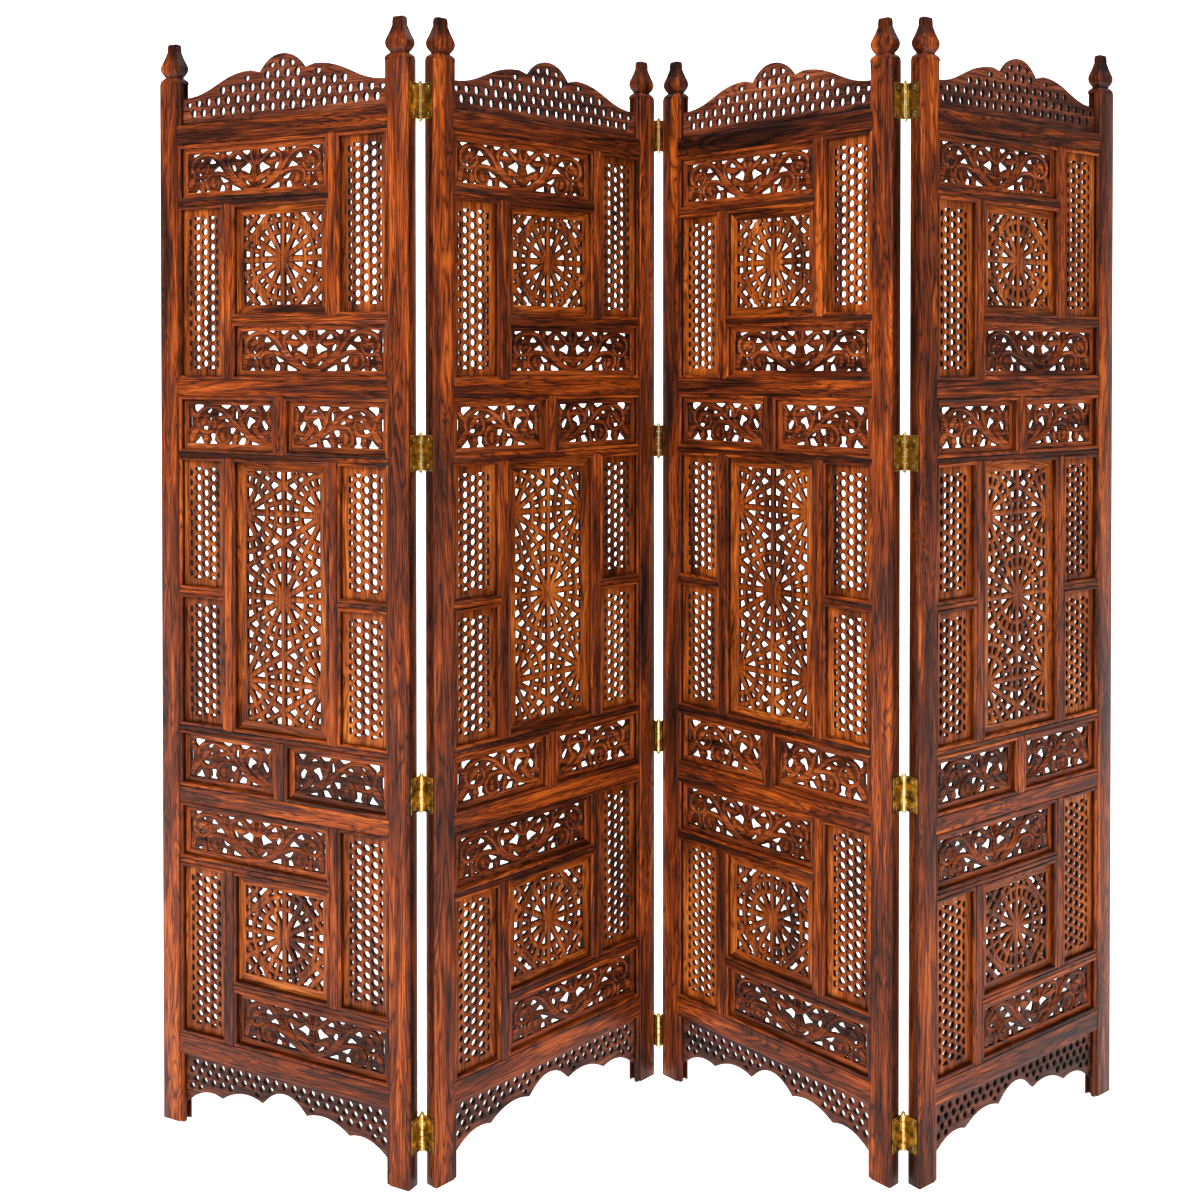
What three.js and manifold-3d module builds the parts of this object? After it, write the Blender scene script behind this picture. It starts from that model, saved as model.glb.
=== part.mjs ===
// A free-standing folding screen: four carved rosewood leaves joined edge to edge by brass butt hinges.
// Millimetres, +Z up. The front is on the -Y side, and the origin is on the floor at the middle of the screen.

import * as THREE from 'three';
import { mergeVertices } from 'three/addons/utils/BufferGeometryUtils.js';
import Module from 'manifold-3d';

// Leaves
const leafWidth = 510;
const leafTurns = [26.7, -47.1, 46.9, -38.4]; // degrees that each leaf's right end comes nearer
const seam = 0.3; // gap between two pieces that touch

// Stiles
const stileWidth = 45;
const stileDepth = 25;
const stileRise = 72; // top of the top rail to the shoulder below the finial
const grooveSetback = 9; // from the stile's front face
const grooveWidth = 10;
const grooveDepth = 7;
const neckHeight = 11; // shoulder to neck
const bulbHeight = 42; // neck to the stub on top
const stubHeight = 14;
const shoulderHeight = 5; // of the round above the shoulder
const shoulderShare = 0.92; // of the stile's section
const neckShare = 0.6;
const bulbShare = 0.92;
const bulbShoulderShare = 0.7;
const stubShare = 0.47;
const bulbWidestAt = 0.38; // of the bulb's height
const bulbShoulderAt = 0.7;

// Rails and muntins
const railSetback = 1; // behind the stile's two faces
const bottomRailLevel = 117; // floor to the underside of the bottom rail
const bottomRailHeight = 42;
const wideRailHeight = 40;
const thinRailHeight = 20;
const muntinWidth = 28;
const chamfer = 5; // along the edges of the wide rails

// Boards
const boardFit = 0.5; // play of a board in the stile's groove
const scrollHeight = 83;
const rosetteHeight = 176;
const middleHeight = 442;
const centreWidth = 188; // of the board between the two muntins
const boardBorder = 14; // plain wood around a pierced field

// Piercings
const barWidth = 9;
const rosetteSpokes = 12;
const hubRadius = 17;
const rosetteRadius = 68;
const latticeRowHeight = 76;
const scrollPitch = 92;
const diamondPitch = 66; // in the crest and the apron

// Crest and apron
const crestEndHeight = 46; // above the top rail, at the stiles
const crestShoulderHeight = 82;
const crestShoulderAt = 66; // from the middle
const crestCuspHeight = 77;
const crestCuspAt = 46;
const crestHeight = 104;
const crestBorder = 11;
const crestEase = 0.45; // share of an ogee's run that its curve stays nearly level at each end
const crestRound = 0.6; // share of the middle lobe's half width that its curve leans out
const crestFacets = 4;
const apronEndLevel = 32; // above the floor, at the stiles
const apronOuterCusp = [132, 53]; // from the middle, and above the floor
const apronInnerCusp = [46, 65];
const apronPeakLevel = 90;
const apronOuterSwell = 0.6; // above the cusp, as a share of the peak's rise above the inner cusp
const apronInnerSwell = 0.7;
const apronFacets = 3;

// Hinges
const lowestHingeLevel = 80; // floor to the middle of the lowest hinge
const secondHingeRise = 34; // above the lower end of the middle section
const thirdHingeDrop = 79; // below the upper end of the middle section
const highestHingeDrop = 64; // below the stile's shoulder
const hingeHeight = 56;
const plateWidth = 20; // on the stile's edge
const plateThickness = 1.8;
const barrelRadius = 4.2;
const barrelSides = 6;
const knuckleCount = 3;
const pinOutward = 2.5; // from the stile's edge face to the pin
const pinBeyond = 6.5; // from the stile's front or back face to the pin

// Modelling
const cutOver = 1; // how far a cutting block reaches past the face that it cuts
const sameCorner = 1e-4; // corners nearer than this are one

const wood = new THREE.MeshStandardMaterial({ color: 0x6e3219, roughness: 0.42, metalness: 0 });
const brass = new THREE.MeshStandardMaterial({ color: 0xb98a35, roughness: 0.3, metalness: 1 });

const openingWidth = leafWidth - 2 * stileWidth;
const halfLeaf = leafWidth / 2;
const halfOpening = openingWidth / 2;
const halfDepth = stileDepth / 2;
const boardFront = grooveSetback - halfDepth;
const boardDepth = grooveWidth - 2 * boardFit;
const boardStart = boardFront + boardFit;
const boardReach = halfOpening + grooveDepth - boardFit;
const sectionHeight = 2 * scrollHeight + 2 * thinRailHeight + rosetteHeight;
const smallRowHeight = scrollHeight + thinRailHeight;
const lowerLevel = bottomRailLevel + bottomRailHeight;
const lowerTop = lowerLevel + sectionHeight + wideRailHeight;
const middleTop = lowerTop + 2 * smallRowHeight + middleHeight;
const topRailLevel = middleTop + wideRailHeight + sectionHeight;
const crestLevel = topRailLevel + wideRailHeight;
const stileHeight = crestLevel + stileRise;
const diamondCount = 2 * Math.floor(halfOpening / diamondPitch); // as many on each side of the middle
const hingeLevels = [
  lowestHingeLevel, lowerTop + secondHingeRise, middleTop - thirdHingeDrop, stileHeight - highestHingeDrop];

const wasm = await Module();
wasm.setup();

// Closed geometry to solid and back

function solidOf(geometry) {
  const bare = geometry.clone();
  bare.deleteAttribute('normal');
  bare.deleteAttribute('uv');
  const merged = mergeVertices(bare, sameCorner);
  return new wasm.Manifold(new wasm.Mesh({
    numProp: 3,
    vertProperties: new Float32Array(merged.attributes.position.array),
    triVerts: new Uint32Array(merged.index.array),
  }));
}

function geometryOf(solid) {
  const mesh = solid.getMesh();
  const geometry = new THREE.BufferGeometry();
  geometry.setAttribute('position', new THREE.BufferAttribute(new Float32Array(mesh.vertProperties), 3));
  geometry.setIndex(new THREE.BufferAttribute(new Uint32Array(mesh.triVerts), 1));
  geometry.computeVertexNormals();
  return geometry;
}

function piece(name, solid, material) {
  const mesh = new THREE.Mesh(geometryOf(solid), material.clone());
  mesh.name = name;
  return mesh;
}

function join(solids) {
  return solids.reduce((sum, solid) => sum.add(solid));
}

function block(x0, x1, y0, y1, z0, z1) {
  const geometry = new THREE.BoxGeometry(x1 - x0, y1 - y0, z1 - z0);
  geometry.translate((x0 + x1) / 2, (y0 + y1) / 2, (z0 + z1) / 2);
  return solidOf(geometry);
}

// An outline drawn in X and Z, with a thickness along Y

function slab(shape, front, depth, curveSegments = 1) {
  const geometry = new THREE.ExtrudeGeometry(shape, { depth, bevelEnabled: false, curveSegments });
  geometry.rotateX(Math.PI / 2);
  geometry.translate(0, front + depth, 0);
  return solidOf(geometry);
}

function outline(points) {
  return new THREE.Shape(points.map(([x, z]) => new THREE.Vector2(x, z)));
}

function rectangle(x0, x1, z0, z1) {
  return outline([[x0, z0], [x1, z0], [x1, z1], [x0, z1]]);
}

// Stile with the groove for the boards and an onion finial, both of the stile's own section

function stile(side) {
  const profile = [
    [0, 0],
    [1, 0],
    [1, stileHeight],
    [shoulderShare, stileHeight + shoulderHeight],
    [neckShare, stileHeight + neckHeight],
    [bulbShare, stileHeight + neckHeight + bulbHeight * bulbWidestAt],
    [bulbShoulderShare, stileHeight + neckHeight + bulbHeight * bulbShoulderAt],
    [stubShare, stileHeight + neckHeight + bulbHeight],
    [stubShare, stileHeight + neckHeight + bulbHeight + stubHeight],
    [0, stileHeight + neckHeight + bulbHeight + stubHeight],
  ];
  const square = new THREE.LatheGeometry(profile.map(([r, z]) => new THREE.Vector2(r, z)), 4, Math.PI / 4);
  square.rotateX(Math.PI / 2);
  square.scale(stileWidth / Math.SQRT2, stileDepth / Math.SQRT2, 1);
  const middle = side * (halfLeaf - stileWidth / 2);
  square.translate(middle, 0, 0);
  const open = side * (halfOpening - cutOver);
  const deep = side * (halfOpening + grooveDepth);
  const groove = block(
    Math.min(open, deep), Math.max(open, deep),
    boardFront, boardFront + grooveWidth, -cutOver, stileHeight + neckHeight / 2);
  return solidOf(square).subtract(groove);
}

// Rails and muntins stand proud of the boards

function bar(x0, x1, z0, z1) {
  return block(x0, x1, railSetback - halfDepth, halfDepth - railSetback, z0, z1);
}

function wideRail(z0, z1) {
  const front = railSetback - halfDepth;
  const shape = new THREE.Shape([
    [z0, front + chamfer], [z0 + chamfer, front], [z1 - chamfer, front], [z1, front + chamfer],
    [z1, -front - chamfer], [z1 - chamfer, -front], [z0 + chamfer, -front], [z0, -front - chamfer],
  ].map(([z, y]) => new THREE.Vector2(y, z)));
  const length = openingWidth - 2 * seam;
  const geometry = new THREE.ExtrudeGeometry(shape, { depth: length, bevelEnabled: false });
  geometry.rotateX(Math.PI / 2);
  geometry.rotateZ(Math.PI / 2);
  geometry.translate(-length / 2, 0, 0);
  return solidOf(geometry);
}

// Openings of the pierced boards, each a list of corners

function rosetteOpenings(cx, cz, keep) {
  const openings = [];
  const step = (2 * Math.PI) / rosetteSpokes;
  for (let i = 0; i < rosetteSpokes; i += 1) {
    const turn = (i + 0.5) * step;
    if (keep(Math.cos(turn), Math.sin(turn))) {
      const spread = step / 2 - barWidth / 2 / rosetteRadius;
      const at = (radius, angle) => [cx + radius * Math.cos(angle), cz + radius * Math.sin(angle)];
      openings.push([at(hubRadius, turn), at(rosetteRadius, turn - spread), at(rosetteRadius, turn + spread)]);
    }
  }
  return openings;
}

function starOpenings(x0, x1, z0, z1) {
  const cx = (x0 + x1) / 2;
  const cz = (z0 + z1) / 2;
  const rowRise = (x1 - x0) * Math.sqrt(3) / 2;
  const openings = rosetteOpenings(cx, cz, () => true);
  const nearSide = Math.cos(Math.PI / 6); // only the openings that point inwards
  for (const rise of [-rowRise, rowRise]) {
    openings.push(...rosetteOpenings(x0, cz + rise, (c) => c > nearSide));
    openings.push(...rosetteOpenings(x1, cz + rise, (c) => c < -nearSide));
  }
  return openings;
}

// One column of standing diamonds between crossing bars

function latticeOpenings(x0, x1, z0, z1) {
  const rows = Math.max(1, Math.round((z1 - z0) / latticeRowHeight));
  const rise = (z1 - z0) / rows;
  const cx = (x0 + x1) / 2;
  const halfWide = (x1 - x0) / 2 - barWidth / 2;
  const halfHigh = rise / 2 - barWidth / 2;
  const openings = [];
  for (let row = 0; row < rows; row += 1) {
    const cz = z0 + rise * (row + 0.5);
    openings.push([[cx - halfWide, cz], [cx, cz - halfHigh], [cx + halfWide, cz], [cx, cz + halfHigh]]);
  }
  return openings;
}

// Leaf-shaped openings between the scrolls, leaning to and fro

function scrollOpenings(x0, x1, z0, z1) {
  const count = Math.max(1, Math.round((x1 - x0) / scrollPitch));
  const pitch = (x1 - x0) / count;
  const openings = [];
  for (let i = 0; i < count; i += 1) {
    const left = x0 + pitch * i + barWidth / 2;
    const right = left + pitch - barWidth;
    const up = i < count / 2;
    openings.push(up
      ? [[left, z0 + barWidth], [right, z0], [(left + right) / 2, z1]]
      : [[left, z0], [right, z0 + barWidth], [(left + right) / 2, z1]]);
  }
  return openings;
}

function field(x0, x1, z0, z1, openings) {
  return openings(x0 + boardBorder, x1 - boardBorder, z0 + boardBorder, z1 - boardBorder);
}

// One board behind the whole fretwork, pierced where each small board is, with the bars joined to it

function fretwork(z0, z1, openings, bars) {
  const board = rectangle(-boardReach, boardReach, z0, z1);
  board.holes = openings.map(outline);
  return join([slab(board, boardStart, boardDepth), ...bars]);
}

// Pinwheel of a wide scroll, a tall lattice, a wide scroll and a tall lattice around a rosette

function pinwheelFretwork(base) {
  const left = seam - halfOpening;
  const right = halfOpening - seam;
  const inner = centreWidth / 2;
  const outer = inner + muntinWidth;
  const low = base + scrollHeight;
  const lowTop = low + thinRailHeight;
  const high = lowTop + rosetteHeight;
  const highTop = high + thinRailHeight;
  const top = base + sectionHeight;
  const openings = [
    ...field(-inner, halfOpening, base, low, scrollOpenings),
    ...field(-halfOpening, inner, highTop, top, scrollOpenings),
    ...field(-halfOpening, -outer, base, high, latticeOpenings),
    ...field(outer, halfOpening, lowTop, top, latticeOpenings),
    ...rosetteOpenings(0, (lowTop + high) / 2, () => true),
  ];
  const bars = [
    bar(-outer, -inner, base, high),
    bar(inner, outer, lowTop, top),
    bar(-inner, right, low, lowTop),
    bar(left, inner, high, highTop),
  ];
  return { openings, bars, top };
}

function pairOfSmallScrolls(base) {
  const half = muntinWidth / 2;
  const openings = [
    ...field(-halfOpening, -half, base, base + scrollHeight, scrollOpenings),
    ...field(half, halfOpening, base, base + scrollHeight, scrollOpenings),
  ];
  return { openings, bars: [bar(-half, half, base, base + scrollHeight)] };
}

// Tall star board between two muntins, with two lattices on each side, and a pair of small scrolls above and below

function middleFretwork(base) {
  const left = seam - halfOpening;
  const right = halfOpening - seam;
  const inner = centreWidth / 2;
  const outer = inner + muntinWidth;
  const low = base + smallRowHeight;
  const top = low + middleHeight;
  const shortRail = (low + top - thinRailHeight) / 2;
  const scrolls = [pairOfSmallScrolls(base), pairOfSmallScrolls(top + thinRailHeight)];
  const openings = scrolls.flatMap((pair) => pair.openings);
  openings.push(...field(-inner, inner, low, top, starOpenings));
  const bars = scrolls.flatMap((pair) => pair.bars);
  for (const [x0, x1] of [[-halfOpening, -outer], [outer, halfOpening]]) {
    openings.push(...field(x0, x1, low, shortRail, latticeOpenings));
    openings.push(...field(x0, x1, shortRail + thinRailHeight, top, latticeOpenings));
    bars.push(bar(Math.max(x0, left), Math.min(x1, right), shortRail, shortRail + thinRailHeight));
  }
  bars.push(bar(-outer, -inner, low, top));
  bars.push(bar(inner, outer, low, top));
  bars.push(bar(left, right, low - thinRailHeight, low));
  bars.push(bar(left, right, top, top + thinRailHeight));
  return { openings, bars };
}

// Crest: an ogee on each side, a cusp and a round middle lobe

function crest() {
  const base = crestLevel + seam;
  const shape = new THREE.Shape();
  const x = boardReach;
  shape.moveTo(-x, base);
  shape.lineTo(x, base);
  shape.lineTo(x, crestLevel + crestEndHeight);
  shape.lineTo(halfOpening, crestLevel + crestEndHeight);
  const lean = (halfOpening - crestShoulderAt) * crestEase;
  shape.bezierCurveTo(
    halfOpening - lean, crestLevel + crestEndHeight,
    crestShoulderAt + lean, crestLevel + crestShoulderHeight,
    crestShoulderAt, crestLevel + crestShoulderHeight);
  shape.lineTo(crestCuspAt, crestLevel + crestCuspHeight);
  const round = crestCuspAt * crestRound;
  shape.quadraticCurveTo(round, crestLevel + crestHeight, 0, crestLevel + crestHeight);
  shape.quadraticCurveTo(-round, crestLevel + crestHeight, -crestCuspAt, crestLevel + crestCuspHeight);
  shape.lineTo(-crestShoulderAt, crestLevel + crestShoulderHeight);
  shape.bezierCurveTo(
    -crestShoulderAt - lean, crestLevel + crestShoulderHeight,
    lean - halfOpening, crestLevel + crestEndHeight,
    -halfOpening, crestLevel + crestEndHeight);
  shape.lineTo(-x, crestLevel + crestEndHeight);
  const lowest = crestLevel + crestBorder;
  const rowHeight = crestEndHeight - 2 * crestBorder;
  const wholeRow = diamondRow(lowest, rowHeight, diamondCount);
  const oneAbove = diamondRow(lowest + crestEndHeight / 2, rowHeight, 1);
  shape.holes = [...wholeRow, ...oneAbove].map(outline);
  return slab(shape, boardStart, boardDepth, crestFacets);
}

function diamondRow(z0, height, count) {
  const openings = [];
  for (let i = 0; i < count; i += 1) {
    const cx = (i - (count - 1) / 2) * diamondPitch;
    const halfWide = (diamondPitch - barWidth) / 2;
    openings.push([
      [cx - halfWide, z0 + height / 2], [cx, z0], [cx + halfWide, z0 + height / 2], [cx, z0 + height],
    ]);
  }
  return openings;
}

// Apron: three pairs of cusped lobes under the bottom rail, rising to a point in the middle

function addLobe(shape, x0, x1, crown, level) {
  shape.quadraticCurveTo((x0 + x1) / 2, crown, x1, level);
}

function apron() {
  const top = bottomRailLevel - seam;
  const [outerAt, outerLevel] = apronOuterCusp;
  const [innerAt, innerLevel] = apronInnerCusp;
  const shape = new THREE.Shape();
  shape.moveTo(-boardReach, top);
  shape.lineTo(-boardReach, apronEndLevel);
  shape.lineTo(-halfOpening, apronEndLevel);
  const peakRise = apronPeakLevel - innerLevel;
  const outerCrown = outerLevel + peakRise * apronOuterSwell;
  const innerCrown = innerLevel + peakRise * apronInnerSwell;
  addLobe(shape, -halfOpening, -outerAt, outerCrown, outerLevel);
  addLobe(shape, -outerAt, -innerAt, innerCrown, innerLevel);
  addLobe(shape, -innerAt, 0, apronPeakLevel, apronPeakLevel);
  addLobe(shape, 0, innerAt, apronPeakLevel, innerLevel);
  addLobe(shape, innerAt, outerAt, innerCrown, outerLevel);
  addLobe(shape, outerAt, halfOpening, outerCrown, apronEndLevel);
  shape.lineTo(boardReach, apronEndLevel);
  shape.lineTo(boardReach, top);
  const fieldHeight = top - apronPeakLevel - boardBorder / 2;
  shape.holes = diamondRow(top - boardBorder / 2 - fieldHeight, fieldHeight, diamondCount).map(outline);
  return slab(shape, boardStart, boardDepth, apronFacets);
}

// Half of a hinge: a plate screwed to a stile's edge and every second knuckle of the barrel.
// side is +1 on a leaf's right edge; face is +1 where the barrel is at the leaf's back.

function hingeHalf(side, face, level) {
  const plateIn = -pinOutward + seam; // from the pin to the plate's face on the stile
  const knuckleHeight = hingeHeight / knuckleCount;
  const cornerOut = -barrelRadius - seam;
  const plateEnd = -pinBeyond - plateWidth;
  const bottom = level - hingeHeight / 2;
  const solids = [block(plateIn, plateIn + plateThickness, plateEnd, cornerOut, bottom, bottom + hingeHeight)];
  const first = side > 0 ? 0 : 1;
  for (let i = first; i < knuckleCount; i += 2) {
    const ring = [];
    for (let k = 0; k < barrelSides; k += 1) {
      const angle = (2 * Math.PI * (k + 0.5)) / barrelSides;
      ring.push([barrelRadius * Math.cos(angle), barrelRadius * Math.sin(angle)]);
    }
    const knuckle = new THREE.ExtrudeGeometry(outline(ring), {
      depth: knuckleHeight - seam,
      bevelEnabled: false,
    });
    knuckle.translate(0, 0, bottom + knuckleHeight * i + seam / 2);
    solids.push(solidOf(knuckle));
    solids.push(block(
      plateIn, plateIn + plateThickness, cornerOut - plateThickness, 0,
      bottom + knuckleHeight * i + seam / 2, bottom + knuckleHeight * (i + 1) - seam / 2));
  }
  const geometry = geometryOf(join(solids));
  const turned = new THREE.Matrix4().makeScale(side, face, 1);
  turned.setPosition(side * (halfLeaf + pinOutward), face * (halfDepth + pinBeyond), 0);
  geometry.applyMatrix4(turned);
  if (side * face < 0) {
    geometry.setIndex(Array.from(geometry.index.array).reverse());
  }
  geometry.computeVertexNormals();
  return geometry;
}

function leaf(number) {
  const group = new THREE.Group();
  const name = (part) => `leaf_${number}_${part}`;
  group.add(piece(name('stile_left'), stile(-1), wood));
  group.add(piece(name('stile_right'), stile(1), wood));
  group.add(piece(name('crest'), crest(), wood));
  group.add(piece(name('top_rail'), wideRail(topRailLevel + seam, crestLevel), wood));
  const upper = pinwheelFretwork(middleTop + wideRailHeight);
  upper.bars.push(wideRail(middleTop + seam, middleTop + wideRailHeight));
  group.add(piece(name('fretwork_upper'),
    fretwork(middleTop + wideRailHeight, topRailLevel, upper.openings, upper.bars), wood));
  const middle = middleFretwork(lowerTop);
  group.add(piece(name('fretwork_middle'),
    fretwork(lowerTop + seam, middleTop, middle.openings, middle.bars), wood));
  const lower = pinwheelFretwork(lowerLevel);
  lower.bars.push(wideRail(lower.top, lowerTop));
  group.add(piece(name('fretwork_lower'),
    fretwork(lowerLevel + seam, lower.top, lower.openings, lower.bars), wood));
  group.add(piece(name('bottom_rail'), wideRail(bottomRailLevel, lowerLevel), wood));
  group.add(piece(name('apron'), apron(), wood));
  return group;
}

// Each leaf is placed from the pin that it shares with the one before

function screen() {
  const group = new THREE.Group();
  const pin = new THREE.Vector2(0, 0);
  leafTurns.forEach((turn, index) => {
    const number = index + 1;
    const angle = -THREE.MathUtils.degToRad(turn);
    const along = new THREE.Vector2(Math.cos(angle), Math.sin(angle));
    const back = new THREE.Vector2(-along.y, along.x);
    const face = index % 2 === 0 ? 1 : -1; // side of the pin to the next leaf, +1 at the back
    const reach = halfLeaf + pinOutward;
    const offset = halfDepth + pinBeyond;
    const middle = pin.clone().addScaledVector(along, reach).addScaledVector(back, face * offset);
    pin.copy(middle).addScaledVector(along, reach).addScaledVector(back, face * offset);
    const placed = leaf(number);
    placed.position.set(middle.x, middle.y, 0);
    placed.rotation.z = angle;
    group.add(placed);
    hingeLevels.forEach((level, place) => {
      if (index < leafTurns.length - 1) {
        const half = new THREE.Mesh(hingeHalf(1, face, level), brass.clone());
        half.name = `hinge_${number}_${number + 1}_${place + 1}_left`;
        placed.add(half);
      }
      if (index > 0) {
        const half = new THREE.Mesh(hingeHalf(-1, -face, level), brass.clone());
        half.name = `hinge_${index}_${number}_${place + 1}_right`;
        placed.add(half);
      }
    });
  });
  return group;
}

const folded = screen();
folded.updateMatrixWorld(true);
const box = new THREE.Box3().setFromObject(folded, true);
folded.position.set(-(box.min.x + box.max.x) / 2, -(box.min.y + box.max.y) / 2, 0);
folded.updateMatrixWorld(true);

export default folded;
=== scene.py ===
import math

import bmesh
import bpy
import numpy as np
from mathutils import Matrix, Vector
from mathutils.geometry import delaunay_2d_cdt


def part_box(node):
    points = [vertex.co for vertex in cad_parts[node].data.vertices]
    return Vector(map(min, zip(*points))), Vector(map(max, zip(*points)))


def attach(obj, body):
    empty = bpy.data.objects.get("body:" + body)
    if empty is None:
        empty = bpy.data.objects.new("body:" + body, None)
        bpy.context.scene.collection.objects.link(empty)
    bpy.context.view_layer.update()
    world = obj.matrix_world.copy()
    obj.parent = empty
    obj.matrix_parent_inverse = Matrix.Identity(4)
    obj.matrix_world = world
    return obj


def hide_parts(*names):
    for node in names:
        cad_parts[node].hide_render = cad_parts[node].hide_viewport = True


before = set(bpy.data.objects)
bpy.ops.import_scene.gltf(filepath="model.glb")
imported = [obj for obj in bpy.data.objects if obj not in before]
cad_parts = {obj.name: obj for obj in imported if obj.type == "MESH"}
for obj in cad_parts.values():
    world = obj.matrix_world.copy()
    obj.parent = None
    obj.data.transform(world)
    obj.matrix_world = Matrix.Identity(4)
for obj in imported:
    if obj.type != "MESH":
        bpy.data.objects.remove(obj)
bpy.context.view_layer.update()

# Each leaf is shaped in its own millimetres: X from its left end to its right end as seen from the
# front, Y from front to back with 0 at mid-depth, and Z up from the floor. places turns that into
# the row frame.

MM = 0.001
LEAF_NUMBERS = (1, 2, 3, 4)
FOLDS = ((1, 2), (2, 3), (3, 4))

# Widths and heights of the fretwork, in millimetres
wide_rail = 40
thin_rail = 20
muntin = 28
scroll_row = 83
rosette_row = 176
star_row = 442
centre_width = 188

# Mouldings
bead_width = 6.5
bead_setback = 1.2
bead_round = 2.8
rail_setback = 1.0
arris = 1.0
rail_chamfer = 5
stile_round = 2.5
stile_bead_radius = 3.1
groove_front, groove_back = -3.5, 6.5
groove_depth = 7
board_tongue = 2

# Boards
board_front = -3.0
board_back = 6.0
board_round = 1.0
lattice_border = 12
scroll_border = 9
ground_depth = 2.3
rosette_border = 14
hole_round = 1.8
crest_hole_round = 2.6
apron_hole_round = 2.0
lattice_pitch = 17.2
lattice_columns = 4

# Rosettes
spoke_count = 12
spoke_half = 6.2
inner_ring = 46
outer_ring = 65.5


def middle_of(node):
    low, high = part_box(node)
    return (low + high) / 2


def place_of(number):
    """The matrix from a leaf's own millimetres to the row frame."""
    left = middle_of(f"leaf_{number}_stile_left")
    right = middle_of(f"leaf_{number}_stile_right")
    turn = math.atan2(right.y - left.y, right.x - left.x)
    middle = (left + right) / 2
    moved = Matrix.Translation((middle.x, middle.y, 0))
    return moved @ Matrix.Rotation(turn, 4, "Z") @ Matrix.Scale(MM, 4)


places = {number: place_of(number) for number in LEAF_NUMBERS}


def on_leaf(node, number):
    """The solid's corners in its leaf's own millimetres."""
    back = places[number].inverted()
    return [back @ v.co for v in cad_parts[node].data.vertices]


def cad_size(part):
    """Lowest and highest corner of one of the first leaf's solids, in the leaf's millimetres."""
    corners = on_leaf(f"leaf_1_{part}", 1)
    return Vector(map(min, zip(*corners))), Vector(map(max, zip(*corners)))


stile_low, stile_high = cad_size("stile_right")
half_leaf = stile_high.x
half_opening = stile_low.x
half_depth = stile_high.y
finial_top = stile_high.z
lower_level = cad_size("bottom_rail")[1].z
bottom_rail_level = cad_size("bottom_rail")[0].z
lower_top = cad_size("fretwork_lower")[1].z
middle_top = cad_size("fretwork_middle")[1].z
upper_level = middle_top + wide_rail
top_rail_level = cad_size("top_rail")[0].z
crest_level = cad_size("top_rail")[1].z
crest_low, crest_high = cad_size("crest")
apron_low, apron_high = cad_size("apron")
board_reach = crest_high.x


# Colours and materials

def tone(code):
    """A hex colour as the linear colour that a shader takes."""
    parts = [int(code[i:i + 2], 16) / 255 for i in (1, 3, 5)]
    return [p / 12.92 if p <= 0.04045 else ((p + 0.055) / 1.055) ** 2.4 for p in parts] + [1]


def feed(node, **inputs):
    """Links each input that is given a socket, and sets the others' values. n0, n1 and so on are
    inputs by number, and other words are the inputs' names."""
    for key, value in inputs.items():
        numbered = key[0] == "n" and key[1:].isdigit()
        socket = node.inputs[int(key[1:]) if numbered else key.replace("_", " ")]
        if isinstance(value, bpy.types.NodeSocket):
            node.id_data.links.new(value, socket)
        else:
            socket.default_value = value
    return node


def add(tree, kind, settings=None, **inputs):
    made = tree.nodes.new(kind)
    for key, value in (settings or {}).items():
        setattr(made, key, value)
    return feed(made, **inputs)


def ramp(tree, value, stops):
    made = add(tree, "ShaderNodeValToRGB", n0=value)
    elements = made.color_ramp.elements
    while len(elements) < len(stops):
        elements.new(1)
    for element, (at, code) in zip(elements, stops):
        element.position = at
        element.color = tone(code)
    return made.outputs["Color"]


def attribute(tree, name):
    return add(tree, "ShaderNodeAttribute", {"attribute_name": name}).outputs["Vector"]


def maths(tree, operation, a, b=0.0, c=0.0):
    return add(tree, "ShaderNodeMath", {"operation": operation}, n0=a, n1=b, n2=c).outputs[0]


def new_material(name):
    made = bpy.data.materials.new(name)
    made.use_nodes = True
    return made, made.node_tree, made.node_tree.nodes["Principled BSDF"]


# The figure of the wood: lengths along and across the grain in millimetres, and shares
flame_size, flame_share = (260, 22), 1.3
growth_size, growth_share, growth_lines = (360, 34), 0.4, 13.0
fine_size, fine_share = (70, 1.3), 1.15
patch_size, patch_share = (400, 60), 0.85
pore_size = (26, 0.9)
figure_level = -1.24
pore_tone = 0.26
late_wood_tone = 0.36


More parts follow.
